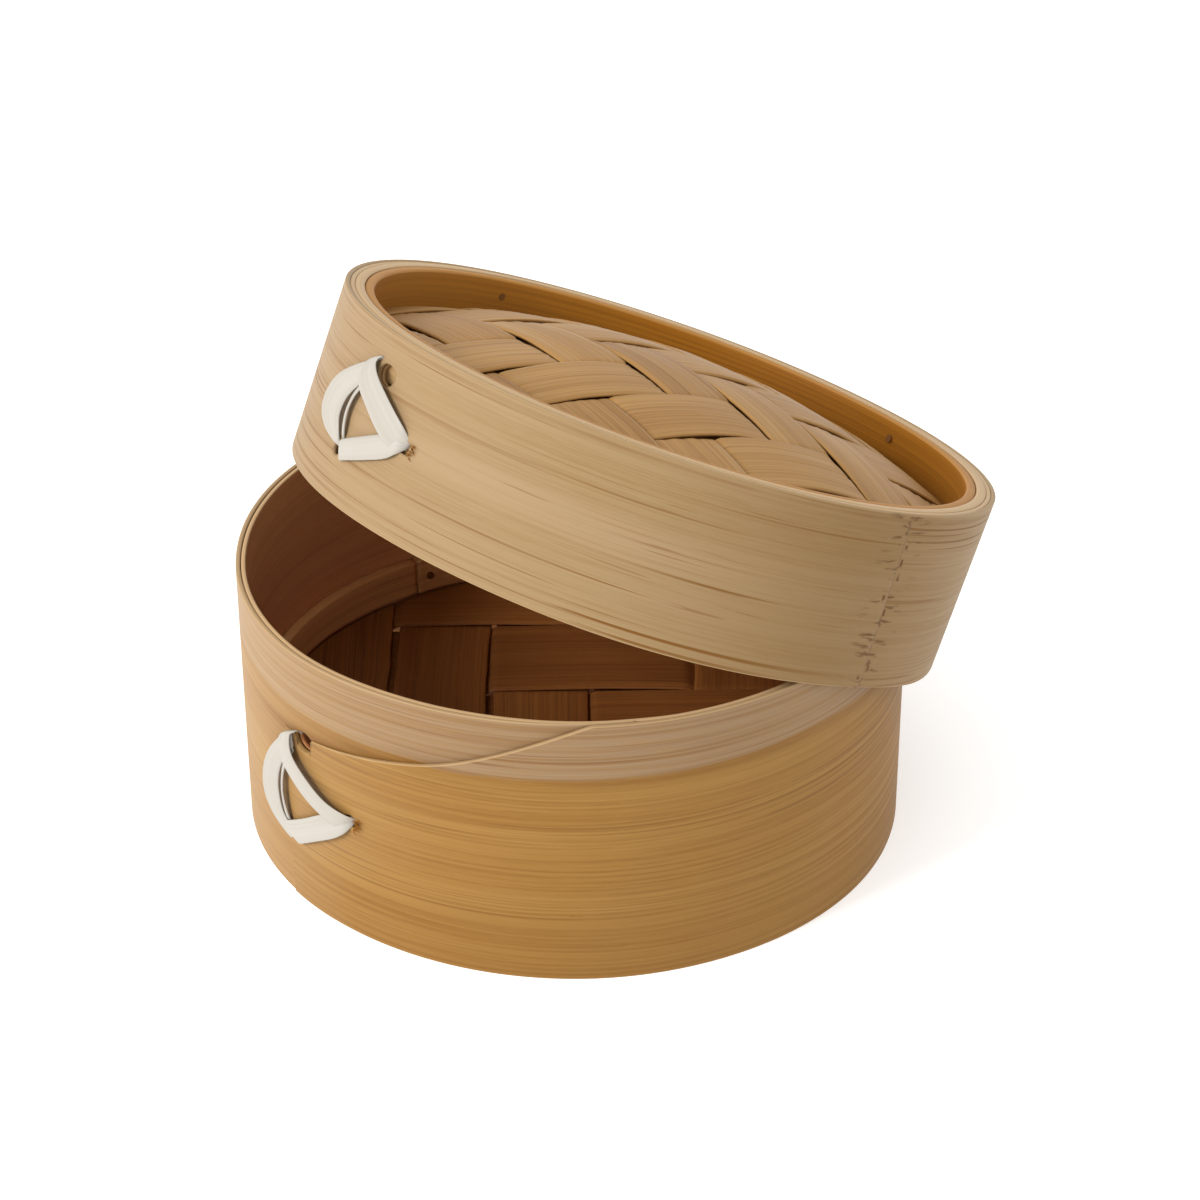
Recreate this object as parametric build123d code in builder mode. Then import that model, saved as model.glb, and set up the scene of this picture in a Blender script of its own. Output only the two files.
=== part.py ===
from build123d import *
import os
from math import cos, hypot, radians, sin

os.makedirs("parts", exist_ok=True)

# A small bamboo steamer: a round basket with a woven floor, and a round lid with a woven, domed
# top that leans on the basket. Millimetres, +Z up, origin at the centre of the basket's foot.
# Azimuths run from the front (-Y) towards the right (+X).

# Basket wall
basket_radius = 75.0
basket_height = 63.8
sheet = 1.1  # thickness of one bent bamboo sheet
seam = 0.05  # glue line between two sheets
inner_sheet_radius = basket_radius - sheet - seam
wall_inside = inner_sheet_radius - sheet
lap_top_azimuth = 3.0  # where the outer sheet's end leaves the rim
lap_foot_azimuth = -56.0  # where that end stands, behind the tie
lap_slit = 0.6
lap_height = 43.6
lap_upper_bend = (0.3, 9.3)  # a point of the slope: share of the half lap, and fall from the rim
lap_lower_bend = (-0.28, 3.2)  # a point near the slope's foot, and its height above that foot
lap_cut_share = 0.5  # depth of the cut that leaves the slope, as a share of the half lap

# Basket rings, floor slats and pegs
ring_radius = wall_inside - seam
retaining_ring_inside = 69.9
retaining_ring_bottom = 17.3
retaining_ring_top = 26.4
support_ring_inside = 68.9
support_ring_bottom = 5.0
support_ring_top = 14.5
slat_width = 9.0
slat_thickness = 3.0
slat_spacing = 48.0
peg_radius = 0.9
peg_clearance = 0.05
peg_azimuth = -150.0
peg_stand_out = 0.1
basket_peg_height = (retaining_ring_bottom + retaining_ring_top) / 2
cut_margin = 1.0  # how far a cut starts outside the surface it cuts

# Woven floor: six strips front to back, five strips left to right
floor_level = 15.9
floor_radius = 72.4
floor_strip_thickness = 0.7
floor_rise = 0.43  # how far a strip stands above or below the middle of the weave
floor_warp_pitch = 23.6
floor_warp_start = -66.5
floor_warp_gap = 2.2
floor_weft_pitch = 30.0
floor_weft_start = -75.0
floor_weft_gap = 1.4
floor_warp_count = 6
floor_weft_count = 5
floor_weave_shift = 1  # which crossings the first strip passes over

# Lid, in its own leaning frame: heights run from the lid's lower edge along its axis
lid_centre = (9.81, 6.87, 61.08)
lid_pitch = -13.454  # lean about X, in degrees
lid_roll = 19.357  # lean about Y, in degrees
lid_radius = 76.35
lid_height = 39.1
lid_sheet_inside = lid_radius - sheet
hoop_bottom = 16.5
lid_inner_radius = lid_sheet_inside - seam
hoop_radius = lid_inner_radius - sheet - seam
lower_hoop_inside = 71.0
lower_hoop_top = 24.9
hoop_wrap_joint = 71.82
upper_hoop_inside = 69.55
outer_wrap_bottom = 28.1
inner_wrap_bottom = 29.0
lid_seam_azimuth = 38.2
lid_seam_slit = 0.4
lid_peg_height = 34.7

# Woven lid top: eight strips each way on a shallow dome
weave_turn = 31.2  # the weave's turn about the lid's axis, in degrees
dome_crown = 41.75
dome_curve = 14.0 / 70.0**2  # fall of the dome per square millimetre
dome_radius = 73.6
dome_strip_thickness = 0.7
dome_rise = 0.55
dome_pitch = 17.12
dome_warp_start = 0.78 - 4 * dome_pitch
dome_weft_start = -2.82 - 4 * dome_pitch
dome_gap = 1.3
dome_strip_count = 8
dome_weave_shift = 2

# Ties: one ribbon laced through three holes, as (azimuth, height) of top, left and right hole
basket_tie_holes = ((-51.2, 42.9), (-57.2, 17.1), (-39.7, 29.2))
lid_tie_holes = ((-58.7, 30.4), (-65.8, 9.8), (-49.1, 18.9))
top_hole_radius = 2.4
side_hole_radius = 1.5
ribbon_width = 4.3
ribbon_thickness = 0.7
ribbon_stand_off = 0.4
ribbon_corner = ribbon_width / 2.1
plug_clearance = 0.2
tucked_end_run = 7.0  # azimuth from the left hole to the lid ribbon's hidden end, in degrees
tucked_end_climb = 2.0

basket_plane = Plane.XY
tilt = Location((0, 0, 0), (lid_pitch, 0, 0))
lid_plane = Plane(Location(lid_centre) * Location((0, 0, 0), (0, lid_roll, 0)) * tilt)


def weave_plane(home, turn):
    """The home plane turned about its own axis."""
    return Plane(home.location * Location((0, 0, 0), (0, 0, turn)))


def radial_plane(home, azimuth, height, radius):
    """A plane facing outward at a radius, with X along the rim and Y along the axis."""
    angle = radians(azimuth)
    centre = home.from_local_coords(Vector(radius * sin(angle), -radius * cos(angle), height))
    outward = home.x_dir * sin(angle) - home.y_dir * cos(angle)
    along = home.x_dir * cos(angle) + home.y_dir * sin(angle)
    return Plane(origin=centre, x_dir=along, z_dir=outward)


def finish(piece, name):
    """Names a finished piece and writes it out."""
    piece.label = name
    export_step(piece, f"parts/{name}.step")


def band(home, outside, inside, bottom, top):
    """A plain round band, added to the current part."""
    with BuildSketch(home.offset(bottom)) as profile:
        Circle(outside)
        Circle(inside, mode=Mode.SUBTRACT)
    extrude(profile.sketch, amount=top - bottom)


def drill(home, azimuth, height, radius, hole_radius, depth):
    """A round hole through the wall, from outside the given radius inward."""
    with BuildSketch(radial_plane(home, azimuth, height, radius + cut_margin)) as profile:
        Circle(hole_radius)
    extrude(profile.sketch, amount=-(depth + cut_margin), mode=Mode.SUBTRACT)


def drill_tie_holes(home, holes, radius):
    """The three holes that a tie is laced through."""
    for (azimuth, height), size in zip(holes, (top_hole_radius, side_hole_radius, side_hole_radius)):
        drill(home, azimuth, height, radius, size, 3 * sheet)


def slit(home, azimuth, radius, width, bottom, top):
    """A narrow upright gap in a sheet, where its end stands."""
    with BuildSketch(radial_plane(home, azimuth, (bottom + top) / 2, radius + cut_margin)) as profile:
        Rectangle(width, top - bottom)
    extrude(profile.sketch, amount=-(2 * sheet + cut_margin), mode=Mode.SUBTRACT)


def flat_strand(home, start, end, radius):
    """A flat, round-ended strand of ribbon between two (azimuth, height) points."""
    run = radians(end[0] - start[0]) * radius
    climb = end[1] - start[1]
    length = hypot(run, climb)
    face = radial_plane(home, (start[0] + end[0]) / 2, (start[1] + end[1]) / 2, radius)
    along = face.x_dir * (run / length) + face.y_dir * (climb / length)
    with BuildSketch(Plane(origin=face.origin, x_dir=along, z_dir=face.z_dir)) as strand:
        RectangleRounded(length + ribbon_width, ribbon_width, ribbon_corner)
    extrude(strand.sketch, amount=ribbon_thickness / 2, both=True)


def ribbon(home, holes, outside, depths, hidden_start, hidden_end, hidden_radius):
    """A tie in one piece: three flat strands outside, a plug in each hole, one strand inside."""
    reach = outside + ribbon_stand_off + ribbon_thickness / 2
    top, left, right = holes
    for start, end in ((top, right), (left, right), (top, left)):
        flat_strand(home, start, end, reach)
    for (azimuth, height), depth in zip(holes, depths):
        with BuildSketch(radial_plane(home, azimuth, height, depth)) as plug:
            Circle(side_hole_radius - plug_clearance)
        extrude(plug.sketch, amount=reach - depth)
    flat_strand(home, hidden_start, hidden_end, hidden_radius)


def pegs(home, height, start, end):
    """Four round pegs driven through a band, a quarter turn apart."""
    for quarter in range(4):
        with BuildSketch(radial_plane(home, peg_azimuth + 90 * quarter, height, start)) as profile:
            Circle(peg_radius)
        extrude(profile.sketch, amount=end - start)


def drill_peg_holes(home, height, radius, depth):
    """The holes that four pegs sit in."""
    for quarter in range(4):
        azimuth = peg_azimuth + 90 * quarter
        drill(home, azimuth, height, radius, peg_radius + peg_clearance, depth)


# Basket wall: two sheets, the outer one ending in a long sloping lap at the front left
with BuildPart() as basket_outer_sheet:
    band(basket_plane, basket_radius, basket_radius - sheet, 0, basket_height)
    lap_middle = (lap_top_azimuth + lap_foot_azimuth) / 2
    lap_reach = basket_radius * sin(radians((lap_top_azimuth - lap_foot_azimuth) / 2))
    with BuildSketch(radial_plane(basket_plane, lap_middle, 0, basket_radius + cut_margin)):
        with BuildLine():
            slope = Spline(
                (lap_reach, basket_height),
                (lap_reach * lap_upper_bend[0], basket_height - lap_upper_bend[1]),
                (lap_reach * lap_lower_bend[0], lap_height + lap_lower_bend[1]),
                (-lap_reach, lap_height),
            )
            above = basket_height + cut_margin
            Polyline(slope @ 1, (-lap_reach, above), (lap_reach, above), slope @ 0)
        make_face()
    extrude(amount=-lap_reach * lap_cut_share, mode=Mode.SUBTRACT)
    slit(basket_plane, lap_foot_azimuth, basket_radius, lap_slit, -cut_margin, lap_height + cut_margin)
    drill_tie_holes(basket_plane, basket_tie_holes, basket_radius)
finish(basket_outer_sheet.part, "basket_outer_sheet")

with BuildPart() as basket_inner_sheet:
    band(basket_plane, inner_sheet_radius, wall_inside, 0, basket_height)
    drill_tie_holes(basket_plane, basket_tie_holes, basket_radius)
finish(basket_inner_sheet.part, "basket_inner_sheet")

# Rings that hold the floor's edge from above and below
with BuildPart() as basket_retaining_ring:
    band(basket_plane, ring_radius, retaining_ring_inside, retaining_ring_bottom, retaining_ring_top)
    drill_peg_holes(basket_plane, basket_peg_height, ring_radius, ring_radius)
finish(basket_retaining_ring.part, "basket_retaining_ring")

with BuildPart() as basket_ring_pegs:
    pegs(basket_plane, basket_peg_height, retaining_ring_inside - peg_stand_out, ring_radius)
finish(basket_ring_pegs.part, "basket_ring_pegs")

with BuildPart() as basket_support_ring:
    band(basket_plane, ring_radius, support_ring_inside, support_ring_bottom, support_ring_top)
    with BuildSketch(basket_plane.offset(support_ring_top - slat_thickness - seam)):
        with GridLocations(0, slat_spacing, 1, 2):
            Rectangle(2 * basket_radius, slat_width + 2 * seam)
    extrude(amount=slat_thickness + cut_margin, mode=Mode.SUBTRACT)
finish(basket_support_ring.part, "basket_support_ring")

# Two slats under the floor, let into the support ring
for number, side in ((1, -1), (2, 1)):
    with BuildPart() as slat:
        with BuildSketch(basket_plane.offset(support_ring_top - slat_thickness)):
            with Locations((0, side * slat_spacing / 2)):
                Rectangle(2 * basket_radius, slat_width)
        extrude(amount=slat_thickness)
        with BuildSketch(basket_plane):
            Circle(ring_radius - seam)
        extrude(amount=basket_height, mode=Mode.INTERSECT)
    finish(slat.part, f"basket_floor_slat_{number}")

with BuildPart() as basket_tie:
    top_hole, left_hole, right_hole = basket_tie_holes
    behind = wall_inside - ribbon_stand_off - ribbon_thickness / 2
    depths = (behind, inner_sheet_radius - sheet / 2, behind)
    ribbon(basket_plane, basket_tie_holes, basket_radius, depths, top_hole, right_hole, behind)
finish(basket_tie.part, "basket_tie")


def strip_outline(heights, thickness):
    """The corners of a strip's side view: its middle line, thickened up and down."""
    upper = [(along, height + thickness / 2) for along, height in heights]
    lower = [(along, height - thickness / 2) for along, height in reversed(heights)]
    return upper + lower


def middle_line(crossings, gap, levels, curve):
    """Points along a strip that passes over or under each crossing strip, on a dome if curved."""
    points = []
    for (start, end), level in zip(crossings, levels):
        first = start + gap / 2
        last = end - gap / 2
        for along in (first, (first + last) / 2, last):
            points.append((along, level - curve * along**2))
    return points


def weave_strip(home, runs_along_y, start, width, heights, curve, thickness, trim_radius):
    """One strip of a mat: its side view pushed sideways down the dome's slope, with a round end."""
    end = start + width
    if runs_along_y:
        origin = home.from_local_coords(Vector(start, 0, -curve * start**2))
        side = Plane(origin=origin, x_dir=home.y_dir, z_dir=home.x_dir)
        fall = curve * (start**2 - end**2)
    else:
        origin = home.from_local_coords(Vector(0, end, -curve * end**2))
        side = Plane(origin=origin, x_dir=home.x_dir, z_dir=home.y_dir * -1)
        fall = curve * (end**2 - start**2)
    push = side.z_dir * width + home.z_dir * fall
    with BuildPart() as strip:
        with BuildSketch(side):
            with BuildLine():
                Polyline(*strip_outline(heights, thickness), close=True)
            make_face()
        extrude(amount=push.length, dir=push.normalized())
        with BuildSketch(home.offset(-basket_height)):
            Circle(trim_radius)
        extrude(amount=2 * basket_height, mode=Mode.INTERSECT)
    return strip.part


def spans(start, pitch, count):
    """The (start, end) of each strip's place across the weave."""
    return [(start + pitch * number, start + pitch * (number + 1)) for number in range(count)]


def weave(home, warp, weft, gaps, rise, curve, thickness, trim_radius, shift, prefix):
    """A twill mat: every strip passes over two and under two, one place further on each row."""
    warp_gap, weft_gap = gaps
    for column, (start, end) in enumerate(warp):
        levels = [
            rise if (column + row + shift) % 4 < 2 else -rise for row in range(len(weft))
        ]
        heights = middle_line(weft, weft_gap, levels, curve)
        piece = weave_strip(
            home, True, start + warp_gap / 2, end - start - warp_gap, heights, curve, thickness, trim_radius
        )
        finish(piece, f"{prefix}_warp_strip_{column + 1}")
    for row, (start, end) in enumerate(weft):
        levels = [
            -rise if (column + row + shift) % 4 < 2 else rise for column in range(len(warp))
        ]
        heights = middle_line(warp, warp_gap, levels, curve)
        piece = weave_strip(
            home, False, start + weft_gap / 2, end - start - weft_gap, heights, curve, thickness, trim_radius
        )
        finish(piece, f"{prefix}_weft_strip_{row + 1}")


# Woven floor: wide strips, flat
weave(
    basket_plane.offset(floor_level),
    spans(floor_warp_start, floor_warp_pitch, floor_warp_count),
    spans(floor_weft_start, floor_weft_pitch, floor_weft_count),
    (floor_warp_gap, floor_weft_gap),
    floor_rise,
    0.0,
    floor_strip_thickness,
    floor_radius,
    floor_weave_shift,
    "floor",
)

# Lid wall: one full sheet outside, a shorter one inside its upper half
with BuildPart() as lid_outer_sheet:
    band(lid_plane, lid_radius, lid_sheet_inside, 0, lid_height)
    slit(lid_plane, lid_seam_azimuth, lid_radius, lid_seam_slit, -cut_margin, lid_height + cut_margin)
    drill_tie_holes(lid_plane, lid_tie_holes, lid_radius)
finish(lid_outer_sheet.part, "lid_outer_sheet")

with BuildPart() as lid_inner_sheet:
    band(lid_plane, lid_inner_radius, hoop_radius + seam, hoop_bottom, lid_height)
    drill_tie_holes(lid_plane, lid_tie_holes, lid_radius)
finish(lid_inner_sheet.part, "lid_inner_sheet")

# Hoops that hold the woven top's edge from below and above
with BuildPart() as lid_lower_hoop:
    band(lid_plane, hoop_radius, lower_hoop_inside, hoop_bottom, lower_hoop_top)
finish(lid_lower_hoop.part, "lid_lower_hoop")

with BuildPart() as lid_upper_hoop_outer_wrap:
    band(lid_plane, hoop_radius, hoop_wrap_joint, outer_wrap_bottom, lid_height)
    drill_peg_holes(lid_plane, lid_peg_height, hoop_radius, hoop_radius)
finish(lid_upper_hoop_outer_wrap.part, "lid_upper_hoop_outer_wrap")

with BuildPart() as lid_upper_hoop_inner_wrap:
    band(lid_plane, hoop_wrap_joint - seam, upper_hoop_inside, inner_wrap_bottom, lid_height)
    drill_peg_holes(lid_plane, lid_peg_height, hoop_radius, hoop_radius)
finish(lid_upper_hoop_inner_wrap.part, "lid_upper_hoop_inner_wrap")

with BuildPart() as lid_hoop_pegs:
    pegs(lid_plane, lid_peg_height, upper_hoop_inside - peg_stand_out, hoop_radius)
finish(lid_hoop_pegs.part, "lid_hoop_pegs")

with BuildPart() as lid_tie:
    left_hole = lid_tie_holes[1]
    tucked_end = (left_hole[0] + tucked_end_run, left_hole[1] + tucked_end_climb)
    behind = lid_sheet_inside - ribbon_stand_off - ribbon_thickness / 2
    in_sheet = lid_inner_radius - sheet / 2
    ribbon(lid_plane, lid_tie_holes, lid_radius, (in_sheet, behind, in_sheet), left_hole, tucked_end, behind)
finish(lid_tie.part, "lid_tie")

# Woven lid top: narrower strips on a dome, turned in the lid
weave(
    weave_plane(lid_plane.offset(dome_crown), weave_turn),
    spans(dome_warp_start, dome_pitch, dome_strip_count),
    spans(dome_weft_start, dome_pitch, dome_strip_count),
    (dome_gap, dome_gap),
    dome_rise,
    dome_curve,
    dome_strip_thickness,
    dome_radius,
    dome_weave_shift,
    "lid",
)
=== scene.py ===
from math import cos, pi, radians, sin, sqrt

import bmesh
import bpy
import numpy as np
from mathutils import Matrix, Vector


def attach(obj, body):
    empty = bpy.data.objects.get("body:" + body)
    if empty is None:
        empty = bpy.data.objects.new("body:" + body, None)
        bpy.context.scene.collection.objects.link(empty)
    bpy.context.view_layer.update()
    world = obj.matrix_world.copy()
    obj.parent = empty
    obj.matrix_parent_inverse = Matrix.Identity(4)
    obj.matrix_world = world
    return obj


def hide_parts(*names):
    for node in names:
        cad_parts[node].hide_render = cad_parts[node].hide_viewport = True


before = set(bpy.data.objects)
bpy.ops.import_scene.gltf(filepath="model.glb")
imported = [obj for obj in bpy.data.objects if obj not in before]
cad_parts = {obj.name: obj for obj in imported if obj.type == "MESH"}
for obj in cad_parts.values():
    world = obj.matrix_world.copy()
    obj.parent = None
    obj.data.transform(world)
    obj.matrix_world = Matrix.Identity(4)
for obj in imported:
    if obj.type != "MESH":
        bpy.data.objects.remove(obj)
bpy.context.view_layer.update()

MM = 0.001

# Driving sizes, in millimetres, as in the CAD model. Azimuths run from the front (-Y) to the right.
BASKET_RADIUS = 75.0
BASKET_HEIGHT = 63.8
SHEET = 1.1
LAP_TOP = 3.0  # azimuth where the outer sheet's end leaves the rim
LAP_FOOT = -56.0  # azimuth where that end stands, behind the tie
LAP_HEIGHT = 43.6
LAP_TURN = 66.0  # how far the outer sheet runs on under its own end
LAP_RISE = 32.0  # degrees over which the outer sheet moves in before it runs under its own end
LAP_CLEARANCE = 0.06
END_THINNING = 0.75  # how much thinner the sheet's hidden end is
SHEET_GAP = 0.1  # between the outer and the inner sheet
WALL_IN = BASKET_RADIUS - 2 * SHEET - SHEET_GAP
PALE_LINE = 50.2  # the basket's outer sheet is paler above this height
RING_JOINT = -147.0
RETAINING_RING = (2.75, 17.3, 26.4)  # thickness, foot and top
SUPPORT_RING = (3.7, 5.0, 14.4)
STRIP = 0.75  # thickness of a woven strip

FLOOR_LEVEL = 15.9
FLOOR_WARP = (-66.5, 23.6, 6)  # start, pitch and count of the strips
FLOOR_WEFT = (-75.0, 30.0, 5)
FLOOR_GAPS = (2.2, 1.4)
FLOOR_TRIM = 70.6
FLOOR_PHASE = 1  # which crossings the first strip passes over

LID_CENTRE = np.array([9.81, 6.87, 61.08])
LID_PITCH = -13.454
LID_ROLL = 19.357
LID_RADIUS = 76.35
LID_HEIGHT = 39.1
LID_SEAM = 38.2
LID_INNER_RADIUS = 75.2
HOOP_RADIUS = 74.05
HOOP_BOTTOM = 16.5
LOWER_HOOP_TOP = 24.6
WRAP_JOINT = 71.8
OUTER_WRAP_BOTTOM = 28.1
INNER_WRAP_BOTTOM = 29.0

WEAVE_TURN = 31.2
DOME_CROWN = 41.75
DOME_CURVE = 14.0 / 70.0**2
DOME_PITCH = 17.12
DOME_COUNT = 8
DOME_WARP = (0.78 - 4 * DOME_PITCH, DOME_PITCH, DOME_COUNT)
DOME_WEFT = (-2.82 - 4 * DOME_PITCH, DOME_PITCH, DOME_COUNT)
DOME_GAPS = (1.0, 1.0)
DOME_TRIM = 72.4
DOME_PHASE = 2

# Holes of the ribbon ties: azimuth, height and half widths along and up the wall
BASKET_HOLES = ((-50.5, 42.9, 3.1, 2.4), (-57.2, 17.1, 1.5, 1.5), (-39.7, 29.2, 1.7, 1.5))
LID_HOLES = ((-58.0, 30.2, 3.1, 2.4), (-65.2, 10.1, 1.6, 1.4), (-48.8, 18.9, 1.7, 1.5))

# Where the camera stands: its distance from the foot's centre, its height angle and its aim
CAMERA_DISTANCE = 734.3
CAMERA_ELEVATION = 33.633
CAMERA_LENS = 94.005
CAMERA_TURN = (-3.367, 0.503, 0.347)  # extra tilt, pan and roll, in degrees


# ---- shapes in numbers


def rotation(about_x, about_y, about_z):
    """Rotation matrix: about X first, then Y, then Z, in degrees."""
    cx, cy, cz = (cos(radians(a)) for a in (about_x, about_y, about_z))
    sx, sy, sz = (sin(radians(a)) for a in (about_x, about_y, about_z))
    turn_x = np.array([[1, 0, 0], [0, cx, -sx], [0, sx, cx]])
    turn_y = np.array([[cy, 0, sy], [0, 1, 0], [-sy, 0, cy]])
    turn_z = np.array([[cz, -sz, 0], [sz, cz, 0], [0, 0, 1]])
    return turn_z @ turn_y @ turn_x


class Home:
    """The basket's or the lid's own frame, in millimetres, and the body that its pieces ride on."""

    def __init__(self, origin, axes, body):
        self.origin = np.asarray(origin, float)
        self.axes = axes
        self.body = body

    def place(self, x, y, z):
        """Local points, in millimetres, as row-frame points in metres."""
        local = np.stack(np.broadcast_arrays(x, y, z), -1)
        return (local @ self.axes.T + self.origin) * MM

    def round(self, azimuth, radius, height):
        """Points on a round wall, from azimuth in degrees, radius and height."""
        angle = np.radians(azimuth)
        return self.place(radius * np.sin(angle), -radius * np.cos(angle), height)


basket_home = Home((0, 0, 0), rotation(0, 0, 0), "basket")
lid_home = Home(LID_CENTRE, rotation(LID_PITCH, LID_ROLL, 0), "lid")


def ease(low, high, value):
    """Smooth step from 0 at low to 1 at high."""
    t = np.clip((np.asarray(value, float) - low) / (high - low), 0, 1)
    return t * t * (3 - 2 * t)


def angle_from(azimuth, centre):
    """Signed angle from centre, between -180 and 180 degrees."""
    return (np.asarray(azimuth, float) - centre + 180) % 360 - 180


def swell(azimuth, centre, reach):
    """Smooth bump of height 1 round an azimuth."""
    return 1 - ease(0, reach, abs(angle_from(azimuth, centre)))


def wander(value, seed, reach, octaves=3):
    """Smooth irregular curve between about -1 and 1; reach is its longest wave."""
    rng = np.random.default_rng(seed)
    total = np.zeros_like(np.asarray(value, float))
    size = 0.0
    for octave in range(octaves):
        weight = 0.55**octave
        for _ in range(3):
            wave = reach / (2**octave) * rng.uniform(0.6, 1.4)
            total = total + weight * np.sin(2 * pi * np.asarray(value) / wave + rng.uniform(0, 2 * pi))
        size += weight * 3
    return total / size * 1.6


def round_wander(azimuth, seed, orders=(2, 3, 4, 5)):
    """Smooth irregular curve round a ring, the same at 0 and 360 degrees."""
    rng = np.random.default_rng(seed)
    angle = np.radians(azimuth)
    total = np.zeros_like(angle)
    for order in orders:
        total = total + np.sin(order * angle + rng.uniform(0, 2 * pi)) * rng.uniform(0.5, 1) / order
    return total


def stations(low, high, step, fine, spots):
    """Values from low to high every step, and every fine step within each (centre, reach) spot."""
    values = np.linspace(low, high, max(2, round((high - low) / step) + 1))
    for centre, reach in spots:
        if centre + reach < low or centre - reach > high:
            continue
        values = values[abs(values - centre) > reach]
        near = np.arange(centre - reach, centre + reach + fine / 2, fine)
        values = np.concatenate([values, near[(near > low) & (near < high)]])
    values = np.concatenate([values, [low, high]])
    return np.unique(values.round(5))


# ---- meshes


def add_mesh(name, points, faces, corner_uv, marks):
    """A smooth mesh object with a grain UV in metres and named values on its points."""
    used = sorted({corner for face in faces for corner in face})
    renumber = {corner: number for number, corner in enumerate(used)}
    faces = [tuple(renumber[corner] for corner in face) for face in faces]
    mesh = bpy.data.meshes.new(name)
    mesh.from_pydata(np.asarray(points)[used].tolist(), [], faces)
    layer = mesh.uv_layers.new(name="Grain")
    layer.data.foreach_set("uv", np.asarray(corner_uv, np.float32).ravel())
    for key, values in marks.items():
        attribute = mesh.attributes.new(key, "FLOAT", "POINT")
        attribute.data.foreach_set("value", np.asarray(values, np.float32).ravel()[used])
    mesh.polygons.foreach_set("use_smooth", [True] * len(mesh.polygons))
    work = bmesh.new()
    work.from_mesh(mesh)
    bmesh.ops.recalc_face_normals(work, faces=work.faces)
    work.to_mesh(mesh)
    work.free()
    mesh.update()
    piece = bpy.data.objects.new(name, mesh)
    bpy.context.scene.collection.objects.link(piece)
    return piece


def sweep(name, sections, grain, marks, closed=False, left_out=(), extra=()):
    """Skin over a row of closed sections; grain is one larger than the sections each wrapped way.

    left_out holds the cells of a hole, and extra the faces of its wall, as (section, point) corners.
    """
    n, m = sections.shape[:2]
    faces, uv = [], []
    for i in range(n if closed else n - 1):
        for j in range(m):
            if (i, j) in left_out:
                continue
            k, q = (i + 1) % n, (j + 1) % m
            faces.append((i * m + j, k * m + j, k * m + q, i * m + q))
            uv += [grain[i, j], grain[i + 1, j], grain[i + 1, j + 1], grain[i, j + 1]]
    for corners in extra:
        faces.append(tuple((i % n) * m + j for i, j in corners))
        uv += [grain[i, j] for i, j in corners]
    if not closed:
        for i, order in ((0, range(m)), (n - 1, range(m - 1, -1, -1))):
            faces.append(tuple(i * m + j for j in order))
            uv += [grain[i, j] for j in order]
    return add_mesh(name, sections.reshape(-1, 3), faces, uv, marks)


CORNER_STEPS = 4


def corner_rows(inward_first):
    """Sine and cosine pairs of a rounded corner, without its two ends."""
    rows = []
    for step in range(1, CORNER_STEPS):
        angle = pi / 2 * step / CORNER_STEPS
        rows.append((cos(angle), sin(angle)) if inward_first else (sin(angle), cos(angle)))
    return rows


def hole_cells(turns, heights, radius, holes):
    """Cells of the outer face inside a hole, its edge as point pairs, and its edge points snapped round."""
    cells = set()
    mid_turn = (turns[:-1] + turns[1:]) / 2
    mid_height = (heights[:-1, :-1] + heights[1:, 1:]) / 2
    edges = []
    for azimuth, height, wide, tall in holes:
        along = np.radians(angle_from(mid_turn, azimuth))[:, None] * radius / wide
        up = (mid_height - height) / tall
        inside = {(int(i), int(j)) for i, j in zip(*np.nonzero(along**2 + up**2 < 1))}
        cells |= inside
        for i, j in sorted(inside):
            for step, pair in (
                ((-1, 0), ((i, j), (i, j + 1))),
                ((1, 0), ((i + 1, j), (i + 1, j + 1))),
                ((0, -1), ((i, j), (i + 1, j))),
                ((0, 1), ((i, j + 1), (i + 1, j + 1))),
            ):
                if (i + step[0], j + step[1]) not in inside:
                    edges.append((pair, (azimuth, height, wide, tall)))
    return cells, edges


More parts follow.
